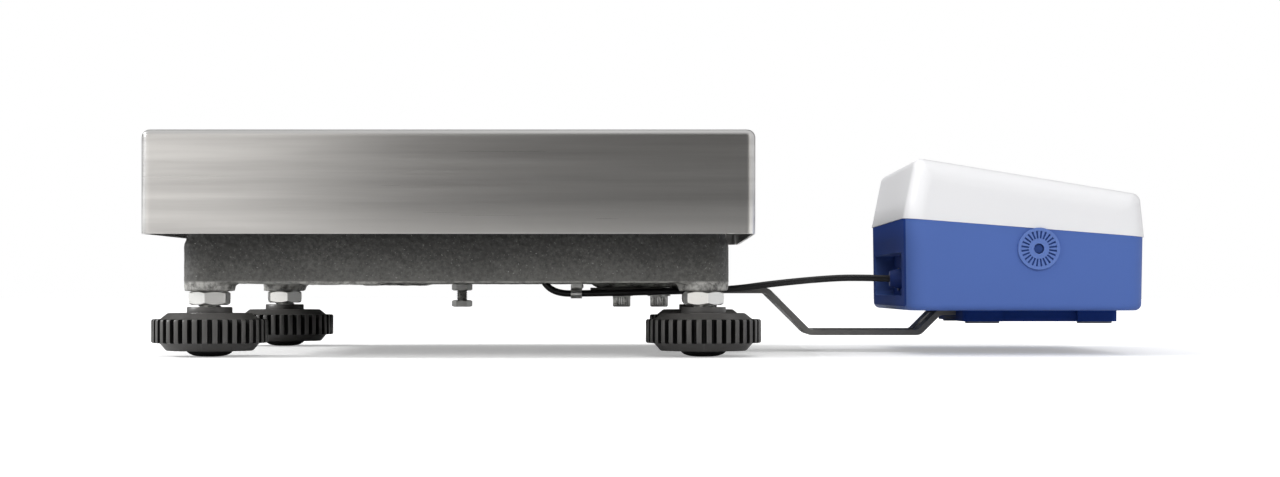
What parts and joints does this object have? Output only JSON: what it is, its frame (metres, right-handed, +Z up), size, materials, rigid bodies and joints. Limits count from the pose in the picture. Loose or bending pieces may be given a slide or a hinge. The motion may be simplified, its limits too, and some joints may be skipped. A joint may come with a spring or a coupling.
{
  "type": "platform scale",
  "caption": "Bench platform scale: a stainless weighing plate over a cast base on screwed levelling feet, with a display unit on a bent strip at one side.",
  "frame": {"origin": "on the table, in the middle of the whole scale's outline", "axes": "+X from the weighing plate to the display, +Y away from the side shown, +Z up"},
  "size_m": [0.5124, 0.318, 0.1145],
  "materials": {
    "stainless": "brushed",
    "cast_paint": "hammered dark grey paint",
    "cell_alloy": "machined and anodised",
    "carrier_paint": "painted casting",
    "strip_paint": "satin black paint",
    "zinc_steel": "zinc plated",
    "knob_plastic": "moulded",
    "black_rubber": "matt",
    "grey_rubber": "matt",
    "cable_jacket": "satin",
    "blue_plastic": "fine moulded texture",
    "white_plastic": "fine moulded texture",
    "panel_film": "satin film",
    "window_glass": "clear",
    "display_glass": "glass and frame",
    "key_rubber": "satin",
    "board_green": "lacquered",
    "switch_black": "moulded",
    "battery_case": "moulded"
  },
  "bodies": {
    "base": {"base_frame": "cast_paint", "load_cell": "cell_alloy", "display_bracket": "strip_paint", "lock_nuts": "zinc_steel", "cell_floor_spacer": "zinc_steel", "overload_screw": "zinc_steel", "overload_nut": "zinc_steel", "bracket_screws": "zinc_steel", "bracket_washers": "zinc_steel", "cell_floor_screws": "zinc_steel", "cable_clip": "zinc_steel", "clip_screw": "zinc_steel", "housing_screws": "zinc_steel", "foot_plate_screws": "zinc_steel", "display_pads": "grey_rubber", "load_cell_cable": "cable_jacket", "lower_housing": "blue_plastic", "display_foot_plate": "blue_plastic", "cable_gland": "blue_plastic", "gland_nut": "blue_plastic", "upper_housing": "white_plastic", "front_panel": "panel_film", "lcd_window": "window_glass", "lcd_module": "display_glass", "circuit_board": "board_green", "key_switches": "switch_black", "supply_inlet": "switch_black", "battery_pack": "battery_case"},
    "carrier": {"carrier_frame": "carrier_paint", "cell_carrier_spacer": "zinc_steel", "cell_carrier_screws": "zinc_steel", "rubber_buffers": "black_rubber"},
    "plate": {"weighing_plate": "stainless"},
    "foot_1": {"foot_stud_1": "zinc_steel"},
    "foot_1_knob": {"foot_knob_1": "knob_plastic", "foot_pad_1": "black_rubber"},
    "foot_2": {"foot_stud_2": "zinc_steel"},
    "foot_2_knob": {"foot_knob_2": "knob_plastic", "foot_pad_2": "black_rubber"},
    "foot_3": {"foot_stud_3": "zinc_steel"},
    "foot_3_knob": {"foot_knob_3": "knob_plastic", "foot_pad_3": "black_rubber"},
    "foot_4": {"foot_stud_4": "zinc_steel"},
    "foot_4_knob": {"foot_knob_4": "knob_plastic", "foot_pad_4": "black_rubber"},
    "power_key": {"key_power": "key_rubber"},
    "zero_key": {"key_zero": "key_rubber"},
    "tare_key": {"key_tare": "key_rubber"},
    "units_key": {"key_units": "key_rubber"},
    "count_key": {"key_count": "key_rubber"},
    "print_key": {"key_print": "key_rubber"}
  },
  "joints": [
    {"name": "cell_flex", "type": "slide", "parent": "base", "child": "carrier", "axis": [0, 0, 1], "range_m": [-0.0005, 0], "stiffness_N_per_m": 858000, "springref_m": 0.0001, "deforming": ["load_cell"]},
    {"name": "plate_lift", "type": "slide", "parent": "carrier", "child": "plate", "axis": [0, 0, 1], "range_m": [0, 0.08]},
    {"name": "foot_1_screw", "type": "slide", "parent": "base", "child": "foot_1", "axis": [0, 0, 1], "range_m": [-0.01, 0]},
    {"name": "foot_1_turn", "type": "hinge", "parent": "foot_1", "child": "foot_1_knob", "pos_m": [-0.2265, -0.1295, 0.014], "axis": [0, 0, 1], "range_deg": [-2060, 0]},
    {"name": "foot_2_screw", "type": "slide", "parent": "base", "child": "foot_2", "axis": [0, 0, 1], "range_m": [-0.01, 0]},
    {"name": "foot_2_turn", "type": "hinge", "parent": "foot_2", "child": "foot_2_knob", "pos_m": [-0.2265, 0.1295, 0.014], "axis": [0, 0, 1], "range_deg": [-2060, 0]},
    {"name": "foot_3_screw", "type": "slide", "parent": "base", "child": "foot_3", "axis": [0, 0, 1], "range_m": [-0.01, 0]},
    {"name": "foot_3_turn", "type": "hinge", "parent": "foot_3", "child": "foot_3_knob", "pos_m": [0.026, -0.1295, 0.014], "axis": [0, 0, 1], "range_deg": [-2060, 0]},
    {"name": "foot_4_screw", "type": "slide", "parent": "base", "child": "foot_4", "axis": [0, 0, 1], "range_m": [-0.01, 0]},
    {"name": "foot_4_turn", "type": "hinge", "parent": "foot_4", "child": "foot_4_knob", "pos_m": [0.026, 0.1295, 0.014], "axis": [0, 0, 1], "range_deg": [-2060, 0]},
    {"name": "power_press", "type": "slide", "parent": "base", "child": "power_key", "axis": [0.1616, 0, 0.9869], "range_m": [-0.0007, 0], "stiffness_N_per_m": 1500, "springref_m": 0.0003},
    {"name": "zero_press", "type": "slide", "parent": "base", "child": "zero_key", "axis": [0.1616, 0, 0.9869], "range_m": [-0.0007, 0], "stiffness_N_per_m": 1500, "springref_m": 0.0003},
    {"name": "tare_press", "type": "slide", "parent": "base", "child": "tare_key", "axis": [0.1616, 0, 0.9869], "range_m": [-0.0007, 0], "stiffness_N_per_m": 1500, "springref_m": 0.0003},
    {"name": "units_press", "type": "slide", "parent": "base", "child": "units_key", "axis": [0.1616, 0, 0.9869], "range_m": [-0.0007, 0], "stiffness_N_per_m": 1500, "springref_m": 0.0003},
    {"name": "count_press", "type": "slide", "parent": "base", "child": "count_key", "axis": [0.1616, 0, 0.9869], "range_m": [-0.0007, 0], "stiffness_N_per_m": 1500, "springref_m": 0.0003},
    {"name": "print_press", "type": "slide", "parent": "base", "child": "print_key", "axis": [0.1616, 0, 0.9869], "range_m": [-0.0007, 0], "stiffness_N_per_m": 1500, "springref_m": 0.0003}
  ],
  "couplings": [
    {"joint": "foot_1_turn", "follows": "foot_1_screw", "rad_per_m": 3590.4},
    {"joint": "foot_2_turn", "follows": "foot_2_screw", "rad_per_m": 3590.4},
    {"joint": "foot_3_turn", "follows": "foot_3_screw", "rad_per_m": 3590.4},
    {"joint": "foot_4_turn", "follows": "foot_4_screw", "rad_per_m": 3590.4}
  ]
}
